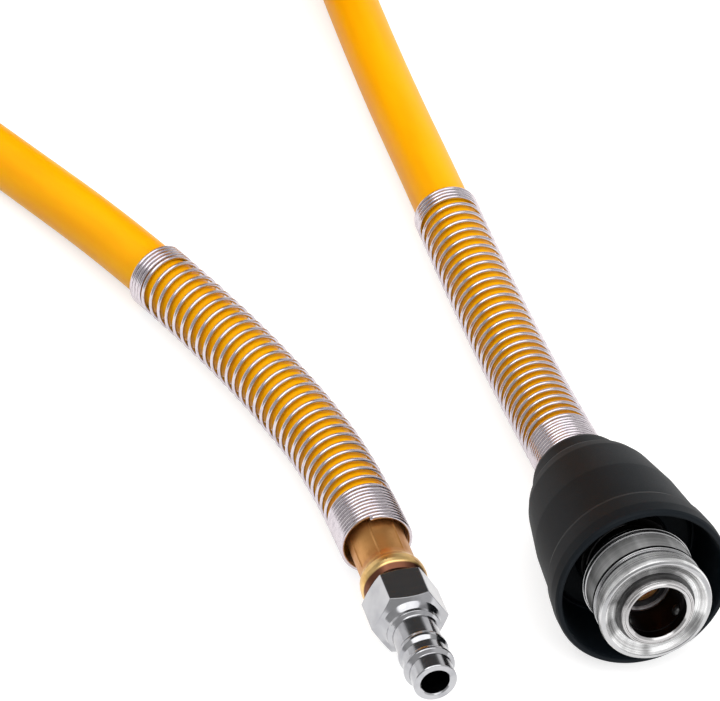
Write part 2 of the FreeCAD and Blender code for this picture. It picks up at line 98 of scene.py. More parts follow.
# Frame of a fitting: rows are along (out of its open end), side and above
def fittingFrame(lay):
    tip = np.array(lay["tip"])
    along = tip - np.array(lay["bend"])
    along = along / np.linalg.norm(along)
    side = np.cross((0, 0, 1), along)
    side = side / np.linalg.norm(side)
    return {"origin": tip, "axes": np.array([along, side, np.cross(along, side)])}


# A point on the fitting's axis, so far back from its open end
def onAxis(fitting, back):
    return fitting["origin"] - fitting["axes"][0] * back


plugFrame = fittingFrame(plugLay)
couplerFrame = fittingFrame(couplerLay)


# Control points of the coil: a helix lying along X whose first and last turns ease in and out, by
# twice the turn's square less its cube. They lie half-way between steps, pushed out to where the
# polygon's sides touch the helix.
def coilPoints(lay):
    turns = lay["coilTurns"]
    steps = round(turns * lay["pointsPerTurn"])
    step = turns / steps
    turn = (np.arange(-1, steps + 1) + 0.5) * step
    held = np.clip(turn, 0, turns)
    rest = turns - held
    advance = np.where(held < 1, 2 * held**2 - held**3, held)
    advance = np.where(rest < 1, turns - 2 * rest**2 + rest**3, advance)
    angle = 2 * np.pi * turn
    reach = lay["coilRadius"] / math.cos(math.pi * step)
    return np.stack([
        lay["coilRight"] - lay["coilPitch"] * advance,
        lay["coilY"] + reach * np.sin(angle),
        lay["coilHeight"] - reach * np.cos(angle),
    ], axis=1)


# The point before the coil on the plug's side, straight in line with the turn that it joins
def coilRunOut(lay):
    angle = 2 * math.pi * lay["coilTurns"]
    return (
        lay["coilRight"] - lay["coilPitch"] * lay["coilTurns"],
        lay["coilY"] + lay["coilRadius"] * math.sin(angle) + lay["lastRun"] * math.cos(angle),
        lay["coilHeight"] - lay["coilRadius"] * math.cos(angle) + lay["lastRun"] * math.sin(angle),
    )


# The smooth line through a route: points read from its NURBS spline
def smoothLine(name, points, resolution=12):
    curve = bpy.data.curves.new(name, "CURVE")
    curve.dimensions = "3D"
    curve.resolution_u = resolution
    spline = curve.splines.new("NURBS")
    spline.points.add(len(points) - 1)
    spline.points.foreach_set("co", np.column_stack([points, np.ones(len(points))]).ravel())
    spline.order_u = 3
    spline.use_endpoint_u = True
    holder = bpy.data.objects.new(name, curve)
    mesh = bpy.data.meshes.new_from_object(holder)
    line = np.empty(len(mesh.vertices) * 3)
    mesh.vertices.foreach_get("co", line)
    bpy.data.objects.remove(holder)
    bpy.data.curves.remove(curve)
    bpy.data.meshes.remove(mesh)
    return line.reshape(-1, 3)


routePoints = np.array(
    [tuple(onAxis(plugFrame, plugLay["hoseStart"])), plugLay["bend"]]
    + hoseLay["fromPlug"]
    + [coilRunOut(hoseLay)]
    + coilPoints(hoseLay)[::-1].tolist()
    + hoseLay["toCoupler"]
    + [couplerLay["bend"], tuple(onAxis(couplerFrame, couplerLay["hoseStart"]))]
)
hoseLine = smoothLine("hoseLine", routePoints)


# Distance of each point along its line: the running sum of the stretches between the points
def distanceAlong(points):
    stretches = np.linalg.norm(np.diff(points, axis=0), axis=1)
    return np.concatenate([[0], np.cumsum(stretches)])


# A line measured along its length, with directions ahead, across (nearest to +X) and above
class Track:
    def __init__(self, points):
        self.points = points
        self.marks = distanceAlong(points)
        self.length = self.marks[-1]
        ahead = np.gradient(points, self.marks, axis=0)
        self.ahead = ahead / np.linalg.norm(ahead, axis=1, keepdims=True)

    # Centre and the three directions at distances along the line
    def at(self, distance):
        parts = np.column_stack([self.points, self.ahead]).T
        placed = np.stack([np.interp(distance, self.marks, part) for part in parts], -1)
        centre, ahead = placed[..., :3], placed[..., 3:]
        ahead = ahead / np.linalg.norm(ahead, axis=-1, keepdims=True)
        across = np.array([1.0, 0, 0]) - ahead * ahead[..., :1]
        across = across / np.linalg.norm(across, axis=-1, keepdims=True)
        return centre, ahead, across, np.cross(across, ahead)


plugTrack = Track(hoseLine)
couplerTrack = Track(hoseLine[::-1])
print("hose line", round(plugTrack.length, 4), "m in", len(hoseLine), "points")


# Surfaces

# A mesh from rings of points: rows of four-sided faces between rings that are closed round. The
# rows close on themselves too, or else a face closes each end. Faces are turned outwards.
def ringMesh(name, rings, surface, closed=False):
    rows, around = rings.shape[:2]
    number = np.arange(rows * around).reshape(rows, around)
    first = number if closed else number[:-1]
    second = np.roll(number, -1, axis=0) if closed else number[1:]
    quads = np.stack([first, second, np.roll(second, -1, axis=1), np.roll(first, -1, axis=1)], -1)
    quads = quads.reshape(-1, 4)
    points = rings.reshape(-1, 3)
    corners = points[quads]
    volume = np.einsum("ij,ij->", corners[:, 0], np.cross(corners[:, 1], corners[:, 2]))
    volume += np.einsum("ij,ij->", corners[:, 0], np.cross(corners[:, 2], corners[:, 3]))
    faces = quads.tolist()
    if not closed:
        faces += [number[0].tolist(), number[-1][::-1].tolist()]
        for end in (rings[0], rings[-1][::-1]):
            sides = np.cross(end, np.roll(end, -1, axis=0))
            volume += np.einsum("ij,ij->", sides, end[:1].repeat(around, 0))
    if volume < 0:
        faces = [face[::-1] for face in faces]
    mesh = bpy.data.meshes.new(name)
    mesh.from_pydata(points.tolist(), [], faces)
    mesh.shade_smooth()
    layer = mesh.attributes.new("surface", "FLOAT_VECTOR", "POINT")
    layer.data.foreach_set("vector", surface.reshape(-1, 3).astype(np.float32).ravel())
    mesh.update()
    piece = bpy.data.objects.new(name, mesh)
    bpy.context.scene.collection.objects.link(piece)
    return piece


# Places in a fitting's frame: distance back from its open end, radius and angle from above
def fittingPoints(fitting, back, radius, angle):
    local = np.stack(np.broadcast_arrays(-back, radius * np.sin(angle), radius * np.cos(angle)), -1)
    return fitting["origin"] + local @ fitting["axes"]


# How corners are rounded, millimetres. The point past an arc lies at slack, or at a share of the
# shorter side if that is less, and an arc takes no more than a share of that side. A corner that is
# straight, to so many radians, stays a point.
cornerRules = {
    "slack": 0.035, "slackShare": 0.06, "arcShare": 0.42, "stepDegrees": 7.0, "straight": 0.01,
}


# An outline of (back, radius, rounding) corners, millimetres, with each corner rounded by an arc
# that touches both sides and a point just past each end of it, so that flats keep their shade
def roundedOutline(corners, rules=cornerRules):
    made = []
    spots = np.array([corner[:2] for corner in corners], float)
    for index, corner in enumerate(corners):
        spot = spots[index]
        toLast = spots[index - 1] - spot
        toNext = spots[(index + 1) % len(spots)] - spot
        room = min(np.linalg.norm(toLast), np.linalg.norm(toNext))
        toLast /= np.linalg.norm(toLast)
        toNext /= np.linalg.norm(toNext)
        half = math.acos(np.clip(toLast @ toNext, -1, 1)) / 2
        if math.pi / 2 - half < rules["straight"]:
            made.append(spot)
            continue
        tangent = min(corner[2] / math.tan(half), rules["arcShare"] * room)
        bulge = tangent * math.tan(half)
        inward = (toLast + toNext) / np.linalg.norm(toLast + toNext)
        middle = spot + inward * (bulge / math.sin(half))
        turn = math.pi / 2 - half
        count = max(3, int(math.degrees(turn) / rules["stepDegrees"]) * 2 + 1)
        sweep = np.linspace(-turn, turn, count)
        towards = (toNext - toLast) / np.linalg.norm(toNext - toLast)
        arc = middle - inward * (bulge * np.cos(sweep))[:, None]
        arc = arc + towards * (bulge * np.sin(sweep))[:, None]
        slack = min(rules["slack"], rules["slackShare"] * room)
        made += [spot + toLast * (tangent + slack), *arc, spot + toNext * (tangent + slack)]
    return np.array(made)


# So many angles evenly round a circle, with the start not repeated at the end
def roundAngles(count):
    return np.linspace(0, 2 * np.pi, count, endpoint=False)


# The note that materials read: distance along the outline in millimetres, sine and cosine round it
def surfaceNote(distance, angle):
    return np.stack(np.broadcast_arrays(distance, np.sin(angle), np.cos(angle)), -1)


# A body turned from an outline round a fitting's axis: radius times sine and cosine of the angle
def turnedPiece(name, fitting, corners, around):
    outline = roundedOutline(corners)
    angle = roundAngles(around)[None, :]
    rings = fittingPoints(fitting, outline[:, :1] * mm, outline[:, 1:] * mm, angle)
    distance = distanceAlong(outline)[:, None]
    return ringMesh(name, rings, surfaceNote(distance, angle), closed=True)


# A round tube along a track: centre plus radius times the across and above directions
def tubePiece(name, track, distance, radius, around):
    angle = roundAngles(around)
    centre, ahead, across, above = track.at(distance)
    spokes = across[:, None] * np.sin(angle)[:, None] + above[:, None] * np.cos(angle)[:, None]
    rings = centre[:, None] + spokes * radius[:, None, None]
    return ringMesh(name, rings, surfaceNote(distance[:, None] / mm, angle[None, :]))


# Eased share of the way from low to high: three times its square less twice its cube
def smoothStep(low, high, value):
    share = np.clip((value - low) / (high - low), 0, 1)
    return share * share * (3 - 2 * share)


# Hose

hoseTube = {
    "radius": 0.006, "squeezedRadius": 0.00493, "neck": 0.0143, "shoulder": 0.0025,
    "around": 36, "endRings": 24,
}


# The tube along the whole line, squeezed in the ferrules: from the neck on, its radius eases out to
# the full one. Near both ends its rings are a millimetre apart.
def buildHose(tube):
    nearEnd = np.arange(1, tube["endRings"]) * mm
    distance = np.sort(np.concatenate([plugTrack.marks, nearEnd, plugTrack.length - nearEnd]))
    nearest = np.minimum(distance, plugTrack.length - distance)
    swell = smoothStep(tube["neck"], tube["neck"] + tube["shoulder"], nearest)
    radius = tube["squeezedRadius"] + (tube["radius"] - tube["squeezedRadius"]) * swell
    return tubePiece("hose", plugTrack, distance, radius, tube["around"])


hose = buildHose(hoseTube)
print("hose made")


# Bend springs

# Millimetres. Each band is its number of turns and its pitch; the open turns have a first and a
# last pitch.
bendWire = {"wire": 0.88, "centreRadius": 6.72, "pointsPerTurn": 40, "around": 14, "ease": 0.3}
plugSpring = {
    **bendWire, "start": 10.3, "startAngle": -12.0,
    "near": (10, 0.96), "open": (29, 2.77, 2.885), "far": (4.45, 0.96),
}
couplerSpring = {
    **bendWire, "start": 3.45, "startAngle": -50.0,
    "near": (15, 0.917), "open": (29, 2.34, 2.95), "far": (3.6, 0.97),
}


# Round wire wound on a track. The pitch is steady in both close bands and grows over the open
# turns; the distance travelled is the running sum of the pitch. The wire's ring lies square to it.
def woundWire(name, track, wound):
    nearTurns, nearPitch = wound["near"]
    openTurns, firstPitch, lastPitch = wound["open"]
    farTurns, farPitch = wound["far"]
    opened = nearTurns + openTurns
    turns = opened + farTurns
    ease = wound["ease"]
    turn = np.linspace(0, turns, round(turns * wound["pointsPerTurn"]) + 1)
    knots = [0, nearTurns - ease, nearTurns + ease, opened - ease, opened + ease, turns]
    pitches = [nearPitch, nearPitch, firstPitch, lastPitch, farPitch, farPitch]
    pitch = np.interp(turn, knots, pitches)
    step = turn[1]
    travelled = np.concatenate([[0], np.cumsum((pitch[1:] + pitch[:-1]) / 2 * step)])
    centre, ahead, across, above = track.at((wound["start"] + travelled) * mm)
    angle = (2 * np.pi * turn + math.radians(wound["startAngle"]))[:, None]
    outward = across * np.sin(angle) + above * np.cos(angle)
    line = centre + outward * wound["centreRadius"] * mm
    along = np.gradient(line, axis=0)
    along /= np.linalg.norm(along, axis=1, keepdims=True)
    beside = np.cross(along, outward)
    beside /= np.linalg.norm(beside, axis=1, keepdims=True)
    outward = np.cross(beside, along)
    ring = roundAngles(wound["around"])
    spokes = outward[:, None] * np.cos(ring)[:, None] + beside[:, None] * np.sin(ring)[:, None]
    rings = line[:, None] + spokes * (wound["wire"] / 2 * mm)
    run = turn * 2 * np.pi * wound["centreRadius"]
    return ringMesh(name, rings, surfaceNote(run[:, None], ring[None, :]))


plugBendSpring = woundWire("plugBendSpring", plugTrack, plugSpring)
couplerBendSpring = woundWire("couplerBendSpring", couplerTrack, couplerSpring)
print("bend springs wound")


# Ferrules

# Millimetres. The lips say how far each ferrule's zero lies behind its fitting's open end. The
# crimped part and the rippled lip ease in from one distance to another, over a radius.
ferruleShape = {
    "lips": {"plugFerrule": 28.3, "couplerFerrule": 39.0},
    "ridges": 7, "firstRidge": 33.5, "ridgeHeight": 0.17, "ridgeWidth": 0.16,
    "footHeight": 0.35, "footWidth": 0.55, "crimpRadius": 5.45,
    "ridgeSteps": [-1.4, -1.0, -0.7, -0.5, -0.36, -0.26, -0.18, -0.1, -0.04, 0.0],
    "betweenRidges": (0.3, 0.7, 7), "rippleHeight": 0.05,
    "crimped": {"from": 4.0, "to": 5.8, "over": 5.2},
    "rippled": {"from": 4.5, "to": 1.0, "over": 5.6},
    "outline": [
        (2.7, 5.35, 0.05), (-1.2, 5.35, 0.1), (-1.35, 5.6, 0.1), (0.1, 6.35, 0.3), (0.9, 6.5, 0.4),
        (2.0, 6.45, 0.8), (3.3, 5.85, 1.6), (5.0, 5.45, 1.6), (17.0, 5.45, 0.12),
        (17.0, 5.0, 0.1), (2.7, 5.0, 0.1),
    ],
}


# Share of a part of the ferrule's outer side: eased along the axis, and none under its radius
def ferrulePart(part, back, radius):
    return smoothStep(part["from"], part["to"], back) * (radius > part["over"])


# A turned ferrule whose crimped part carries thin lengthwise ridges: a narrow bell on a wider one,
# measured round the circumference from each ridge's angle. Its lip ripples by a cosine in step.
def buildFerrule(name, fitting, shape):
    outline = roundedOutline(shape["outline"])
    spacing = 2 * np.pi / shape["ridges"]
    ridgeAngles = math.radians(shape["firstRidge"]) + spacing * np.arange(shape["ridges"])
    onRidge = np.array(shape["ridgeSteps"]) / shape["crimpRadius"]
    between = np.linspace(*shape["betweenRidges"]) * spacing
    offsets = np.concatenate([onRidge, -onRidge[-2::-1], between])
    angle = np.sort((ridgeAngles[:, None] + offsets).ravel() % (2 * np.pi))[None, :]
    away = np.abs((angle - ridgeAngles[0] + spacing / 2) % spacing - spacing / 2)
    away = away * shape["crimpRadius"]
    bell = np.exp(-(away / shape["ridgeWidth"])**2)
    bell = bell + shape["footHeight"] * np.exp(-(away / shape["footWidth"])**2)
    back, radius = outline[:, :1], outline[:, 1:]
    ridged = shape["ridgeHeight"] * bell * ferrulePart(shape["crimped"], back, radius)
    rippled = shape["rippleHeight"] * np.cos(shape["ridges"] * (angle - ridgeAngles[0]))
    fullRadius = radius + ridged + rippled * ferrulePart(shape["rippled"], back, radius)
    fullBack = (back + shape["lips"][name]) * mm
    rings = fittingPoints(fitting, fullBack, fullRadius * mm, angle)
    distance = distanceAlong(outline)[:, None]
    return ringMesh(name, rings, surfaceNote(distance, angle), closed=True)


plugFerrule = buildFerrule("plugFerrule", plugFrame, ferruleShape)
couplerFerrule = buildFerrule("couplerFerrule", couplerFrame, ferruleShape)
print("ferrules made")


# Plug nipple

# Millimetres, and degrees for the steps of the angles round the hexagon
nippleShape = {
    "flats": 13.0, "cornerRounding": 0.35, "hexFront": 16.8, "hexBack": 25.8,
    "coneStart": 5.7, "chamferSlope": 0.5, "crease": 0.035, "creaseDrop": 0.01, "faceStep": 0.02,
    "footDrop": 0.08, "footRounding": 0.1, "footReach": 0.25, "footEnd": 1.0,
    "cornerSteps": [0.3, 0.7, 1.1, 1.5, 2.2, 4.0], "flatSteps": (7, 53, 14),
    "front": [
        (0.25, 2.7, 0.1), (0.0, 2.95, 0.08), (0.0, 3.95, 0.14), (0.2, 4.1, 0.12), (3.55, 4.1, 0.25),
        (4.15, 4.85, 0.3), (4.65, 4.85, 0.25), (5.35, 4.35, 0.5), (7.3, 4.35, 0.5),
        (8.15, 4.78, 0.35), (8.85, 4.78, 0.3), (9.6, 4.4, 0.4), (14.2, 4.4, 0.35),
        (14.7, 5.1, 0.14), (15.35, 5.15, 0.2),
    ],
    "back": [
        (25.8, 5.3, 0.05), (31.0, 5.3, 0.1), (31.0, 2.7, 0.1), (44.3, 2.7, 0.3), (44.3, 1.8, 0.1),
        (25.8, 1.8, 0.1), (23.8, 2.7, 0.2),
    ],
}


# Radius of a hexagon with a flat facing up and rounded corners, by the angle from above: the
# flat's distance over the cosine, and the corner's small circle where that is nearer
def hexRadius(angle, flats, rounding):
    flat = flats / 2
    fromFlat = (angle + math.pi / 6) % (math.pi / 3) - math.pi / 6
    fromCorner = math.pi / 6 - np.abs(fromFlat)
    centre = (flat - rounding) / math.cos(math.pi / 6)
    inside = np.maximum(rounding**2 - (centre * np.sin(fromCorner))**2, 0)
    return np.where(
        np.abs(fromFlat) > math.atan((flat - rounding) * math.tan(math.pi / 6) / flat),
        centre * np.cos(fromCorner) + np.sqrt(inside),
        flat / np.cos(fromFlat),
    )


# Angles round a hexagonal body: steps from each corner, closer together beside it
def hexAngles(shape):
    near = np.radians(shape["cornerSteps"])
    flat = np.radians(np.linspace(*shape["flatSteps"]))
    offsets = np.concatenate([-near, [0], near, flat])
    corners = math.pi / 6 + np.arange(6) * math.pi / 3
    return np.sort((corners[:, None] + offsets).ravel() % (2 * np.pi))[None, :]


# The hexagon's rings from front to back: a cone's start, where the cone meets the flats, and the
# same at the back. Along the axis the cone's depth is its slope times the hexagon's radius past the
# cone's start, and two close rings behind its edge keep the flats plane.
def hexRings(angle, shape):
    full = hexRadius(angle, shape["flats"], shape["cornerRounding"])
    inner = shape["coneStart"]
    depth = (full - inner) * shape["chamferSlope"]
    crease = shape["crease"]
    face = np.zeros_like(full)
    low = np.full_like(full, inner)
    half = [
        (face, low - crease), (face + shape["faceStep"], low),
        (depth - crease, full - crease / shape["chamferSlope"]),
        (depth, full - shape["creaseDrop"]), (depth + crease, full), (depth + 2 * crease, full),
    ]
    back = [shape["hexFront"] + step for step, radius in half]
    back += [shape["hexBack"] - step for step, radius in half[::-1]]
    radius = [radius for step, radius in half + half[::-1]]
    return np.concatenate(back), np.concatenate(radius)


# The nipple: the outline's front, the hexagon's rings in place of the points at the hexagon's foot,
# then its back and its bore. The materials' distance is that of each ring's mean.
def buildNipple(shape):
    angle = hexAngles(shape)
    foot = (shape["hexFront"], shape["coneStart"] - shape["footDrop"])
    outline = roundedOutline(shape["front"] + [(*foot, shape["footRounding"])] + shape["back"])
    fromFoot = np.linalg.norm(outline - foot, axis=1)
    split = int(np.argmax(fromFoot < shape["footReach"]))
    first, second = outline[:split], outline[split:]
    second = second[second[:, 0] > shape["hexFront"] + shape["footEnd"]]
    hexBackRow, hexRadiusRow = hexRings(angle, shape)
    flat = np.ones_like(angle)
    back = np.concatenate([first[:, :1] * flat, hexBackRow, second[:, :1] * flat])
    radius = np.concatenate([first[:, 1:] * flat, hexRadiusRow, second[:, 1:] * flat])
    rings = fittingPoints(plugFrame, back * mm, radius * mm, angle)
    distance = distanceAlong(np.stack([back.mean(1), radius.mean(1)], 1))[:, None]
    return ringMesh("plugNipple", rings, surfaceNote(distance, angle), closed=True)


plugNipple = buildNipple(nippleShape)
print("plug nipple made")


# Coupler

# Outlines of (back, radius, rounding) corners, millimetres
couplerShapes = {
    "barrel": [
        (9.9, 6.0, 0.1), (9.9, 5.0, 0.05), (9.35, 5.0, 0.08), (8.9, 5.3, 0.15),
        (2.3, 5.3, 0.03), (2.3, 5.5, 0.03), (0.35, 5.5, 0.12), (0.0, 5.85, 0.1), (0.0, 6.2, 0.15),
        (0.26, 6.42, 0.06), (0.26, 6.6, 0.05), (0.08, 6.68, 0.05), (0.25, 6.92, 0.1),
        (0.75, 7.0, 0.12), (1.55, 7.0, 0.03), (1.55, 6.75, 0.03), (2.15, 6.75, 0.03),
        (2.15, 7.2, 0.05), (18.5, 7.2, 0.1), (18.5, 9.0, 0.2), (30.0, 9.0, 0.2),
        (30.0, 6.5, 0.1), (23.25, 6.5, 0.1), (23.25, 6.0, 0.05),
    ],
    "sleeve": [
        (2.3, 7.45, 0.08), (2.15, 8.5, 1.2), (1.3, 9.5, 0.7), (1.0, 10.15, 0.45),
        (1.3, 10.72, 0.5), (2.1, 10.9, 0.8), (4.3, 10.6, 0.5), (5.1, 10.25, 0.25),
        (5.9, 10.25, 0.08), (5.9, 10.6, 0.14), (6.7, 10.6, 0.14), (6.7, 10.3, 0.05),
        (11.2, 10.3, 0.08), (11.35, 10.55, 0.1), (11.7, 10.55, 0.1), (11.7, 10.1, 0.05),
        (12.0, 10.1, 0.05), (12.0, 10.77, 0.14), (12.8, 10.77, 0.2), (12.8, 9.2, 0.25),
        (7.4, 9.2, 0.15), (7.4, 7.25, 0.05), (3.9, 7.25, 0.02),
    ],
    "seal": [
        (9.9, 5.2, 0.05), (9.9, 4.25, 0.2), (10.3, 4.0, 0.2), (12.2, 4.0, 0.1), (12.2, 5.95, 0.05),
        (9.9, 5.95, 0.05),
    ],
    "seat": [(12.2, 4.25, 0.1), (13.5, 4.25, 0.15), (13.5, 5.95, 0.05), (12.2, 5.95, 0.05)],
    "poppet": [
        (10.0, 2.95, 0.12), (10.0, 3.7, 0.12), (10.2, 3.9, 0.1), (14.55, 3.9, 0.05),
        (14.55, 5.5, 0.1), (15.75, 5.5, 0.1), (15.75, 3.2, 0.1), (17.75, 2.8, 0.2),
        (17.75, 0.02, 0.01), (14.55, 0.02, 0.01), (14.55, 2.6, 0.15),
    ],
}

couplerAround = {"barrel": 144, "sleeve": 192, "seal": 96, "seat": 96, "poppet": 96}


# One turned piece of the coupler, with its number of points round it
def couplerPiece(name, part):
    return turnedPiece(name, couplerFrame, couplerShapes[part], couplerAround[part])


couplerBarrel = couplerPiece("couplerBarrel", "barrel")
lockingSleeve = couplerPiece("lockingSleeve", "sleeve")
plugSeal = couplerPiece("plugSeal", "seal")
valveSeat = couplerPiece("valveSeat", "seat")
valvePoppet = couplerPiece("valvePoppet", "poppet")
print("coupler made")


# Springs inside the coupler, millimetres. Each stands against its back end, and keep is the share
# of its length that is left when the sleeve or the valve is pushed all the way back.
innerSprings = {
    "sleeveSpring": {
        "front": 7.45, "back": 18.45, "radius": 8.2, "wire": 0.9, "turns": 5, "keep": 0.545,
    },
    "valveSpring": {
        "front": 15.8, "back": 23.2, "radius": 4.6, "wire": 0.8, "turns": 4, "keep": 0.527,
    },
}


# Helix on the coupler's axis: the middle of the wire moves back evenly with the turns, and the wire
# is a ring of half its thickness round that line, along the axis by sine and outwards by cosine
def axialSpring(name, shape, perTurn=36, around=10):
    turn = np.linspace(0, shape["turns"], shape["turns"] * perTurn + 1)[:, None]
    ring = roundAngles(around)[None, :]
    half = shape["wire"] / 2
    room = shape["back"] - shape["front"] - shape["wire"]
    back = shape["front"] + half + room * turn / shape["turns"] + half * np.sin(ring)
    radius = shape["radius"] + half * np.cos(ring)
    rings = fittingPoints(couplerFrame, back * mm, radius * mm, 2 * np.pi * turn)
    run = turn * 2 * np.pi * shape["radius"]
    return ringMesh(name, rings, surfaceNote(run, ring))


sleeveSpring = axialSpring("sleeveSpring", innerSprings["sleeveSpring"])
valveSpring = axialSpring("valveSpring", innerSprings["valveSpring"])
print("inner springs wound")


# Rubber boot

# Millimetres: how far the mouth lies behind the coupler's open end, and the outline from there
bootShape = {
    "mouth": 8.3, "around": 160,
    "outline": [
        (0.75, 15.6, 0.35), (0.0, 15.9, 0.3), (0.0, 16.7, 0.3), (0.6, 17.0, 0.4), (3.2, 17.0, 3.0),
        (7.2, 16.5, 0.6), (8.3, 16.0, 0.5), (20.0, 14.9, 6.0), (30.3, 13.1, 3.0), (33.0, 12.2, 3.0),
        (34.9, 10.9, 1.2), (35.2, 10.3, 0.25), (39.0, 9.6, 0.6), (40.3, 9.1, 0.5), (40.3, 7.4, 0.2),
        (31.2, 7.4, 0.3), (31.2, 10.05, 0.3), (21.7, 10.05, 0.1), (21.7, 9.05, 0.1),
        (13.2, 9.05, 0.3), (13.2, 13.4, 0.8), (15.2, 14.7, 0.8),
    ],
}


# The boot's outline, measured from its mouth, turned round the coupler's axis
def buildBoot(shape):
    mouth = shape["mouth"]
    corners = [(back + mouth, radius, rounding) for back, radius, rounding in shape["outline"]]
    return turnedPiece("rubberBoot", couplerFrame, corners, shape["around"])


rubberBoot = buildBoot(bootShape)
print("boot made")


# Materials

# A socket that does arithmetic: an expression on values adds its Math nodes, and node() adds any
# other node from its type, its settings and the values or links of its sockets
class Signal:
    def __init__(self, tree, socket=None):
        self.tree = tree
        self.socket = socket

    def node(self, kind, settings=None, inputs=None, output=0):
        made = self.tree.nodes.new(kind)
        for key, value in (settings or {}).items():
            setattr(made, key, value)
        for key, value in (inputs or {}).items():
            if isinstance(value, Signal):
                self.tree.links.new(value.socket, made.inputs[key])
            else:
                made.inputs[key].default_value = value
        return Signal(self.tree, made.outputs[output] if len(made.outputs) else None)

    # Another output of the same node
    def other(self, key):
        return Signal(self.tree, self.socket.node.outputs[key])

    def maths(self, operation, *values):
        return self.node("ShaderNodeMath", {"operation": operation}, dict(enumerate(values)))

    def __add__(self, other):
        return self.maths("ADD", self, other)

    def __radd__(self, other):
        return self.maths("ADD", other, self)

    def __sub__(self, other):
        return self.maths("SUBTRACT", self, other)

    def __rsub__(self, other):
        return self.maths("SUBTRACT", other, self)

    def __mul__(self, other):
        return self.maths("MULTIPLY", self, other)

    def __rmul__(self, other):
        return self.maths("MULTIPLY", other, self)

    def __abs__(self):
        return self.maths("ABSOLUTE", self)

    # Eased share of the way from low to high
    def between(self, low, high):
        settings = {"interpolation_type": "SMOOTHSTEP"}
        return self.node("ShaderNodeMapRange", settings, {0: self, 1: low, 2: high})

    # Mix of two colours by this value
    def blend(self, first, second):
        return self.node("ShaderNodeMix", {"data_type": "RGBA"}, {0: self, 6: first, 7: second}, 2)


def colour(red, green, blue):
    return (red, green, blue, 1.0)


# A new material with an empty tree
def newMaterial(name):
    material = bpy.data.materials.new(name)
    material.use_nodes = True
    material.node_tree.nodes.clear()
    return material, Signal(material.node_tree)


# The surface note of the piece that carries the material
def surfaceOf(start):
    return start.node("ShaderNodeAttribute", {"attribute_name": "surface"}, output=1)


# Distance along the outline, millimetres: the note's first part
def outlineDistance(start):
    return start.node("ShaderNodeSeparateXYZ", None, {0: surfaceOf(start)})


# Noise at the places given, with so many of its waves to the unit
def noiseAt(start, place, scale, detail, rough):
    values = {0: place, "Scale": scale, "Detail": detail, "Roughness": rough}
    return start.node("ShaderNodeTexNoise", None, values)


# Noise on the surface note, each of whose three parts is first multiplied by its stretch
def noteNoise(start, stretch, detail=3.0, rough=0.55):
    values = {0: surfaceOf(start), 1: stretch}
    placed = start.node("ShaderNodeVectorMath", {"operation": "MULTIPLY"}, values)
    return noiseAt(start, placed, 1.0, detail, rough)


# Noise on the piece's Object coordinates, metres
def objectNoise(start, scale, detail=3.0, rough=0.55):
    return noiseAt(start, start.node("ShaderNodeTexCoord", output=3), scale, detail, rough)


# The shader with its values and a bump, whose depth is in metres, and the material's output
def closeMaterial(start, values, height, bump, depth):
    facts = {"Strength": bump, "Distance": depth, "Height": height}
    values["Normal"] = start.node("ShaderNodeBump", None, facts)
    shader = start.node("ShaderNodeBsdfPrincipled", None, values)
    start.node("ShaderNodeOutputMaterial", None, {0: shader})


# What all turned metals share: noises, the ranges over which they are eased and what they add
latheWork = {
    "lines": {"stretch": (9.0, 0.35, 0.35), "detail": 4.0, "rough": 0.65},
    # The fans are noise round the axis that bands the patches with painted highlight and painted
    # shade
    "cloud": {"stretch": (0.12, 1.1, 1.1)}, "paintedLightFans": {"stretch": (0.0, 1.7, 1.7), "detail": 2.0},
    "lineRange": (0.35, 0.75), "dullRange": (0.42, 0.72), "dullRough": 0.05,
    "fanRange": (0.38, 0.60), "fanShare": 0.7, "fanLineRange": (0.35, 0.65),
    "paintedPatchBlur": 0.2, "depth": 0.00005,
}

# A finish's painted-light patches are stretches of the outline, in millimetres, whose colour is
# painted highlight and painted shade: from shade to colour in fans round the axis. A patch's
# roughness comes on top of the finish's.
finishes = {
    "sleeveNickel": {
        "colour": (0.47, 0.47, 0.475), "dull": (0.36, 0.36, 0.37),
        "rough": 0.16, "spread": 0.12, "bump": 0.12,
        # Painted highlights and painted shade: the flange's dish, the convex flange and the satin
        # band, lit and shaded in fans
        "paintedLightPatches": [
            {
                "from": -0.5, "to": 2.9, "colour": (0.84, 0.84, 0.84), "shade": (0.20, 0.20, 0.20),
                "metallic": 0.6, "rough": 0.04,
            },
            {
                "from": 3.6, "to": 7.8, "colour": (0.92, 0.92, 0.92), "shade": (0.34, 0.34, 0.34),
                "metallic": 0.5, "rough": 0.05,
            },
            {
                "from": 9.7, "to": 14.2, "colour": (0.80, 0.80, 0.80), "shade": (0.24, 0.24, 0.24),
                "metallic": 0.4, "rough": 0.18,
            },
        ],
    },
    "plugNickel": {
        "colour": (0.46, 0.46, 0.475), "dull": (0.36, 0.36, 0.38),
        "rough": 0.12, "spread": 0.07, "bump": 0.07, "paintedLightPatches": [],
    },
    "barrelSteel": {
        "colour": (0.50, 0.49, 0.49), "dull": (0.38, 0.37, 0.37),
        "rough": 0.15, "spread": 0.10, "bump": 0.10,
        "paintedLightPatches": [
            # A painted glint on the chamfer and ring at the bore's inner end
            {
                "from": 1.0, "to": 2.1, "colour": (0.80, 0.78, 0.80), "shade": (0.30, 0.28, 0.30),
                "metallic": 0.4, "rough": 0.10,
            },
            # Painted shade: the bore and counterbore darkened near black down the throat
            {
                "from": 2.1, "to": 10.9,
                "colour": (0.020, 0.017, 0.017), "shade": (0.013, 0.012, 0.012),
                "metallic": 1.0, "rough": 0.12,
            },
            # Painted shade: the barrel's outside behind the sleeve and inside the boot darkened
            {
                "from": 26.1, "to": 48.1, "colour": (0.05, 0.05, 0.05), "shade": (0.03, 0.03, 0.03),
                "metallic": 1.0, "rough": 0.3,
            },
        ],
    },
    "seatBrass": {
        "colour": (0.92, 0.47, 0.17), "dull": (0.6, 0.27, 0.09),
        "rough": 0.36, "spread": 0.12, "bump": 0.10, "paintedLightPatches": [],
    },
}
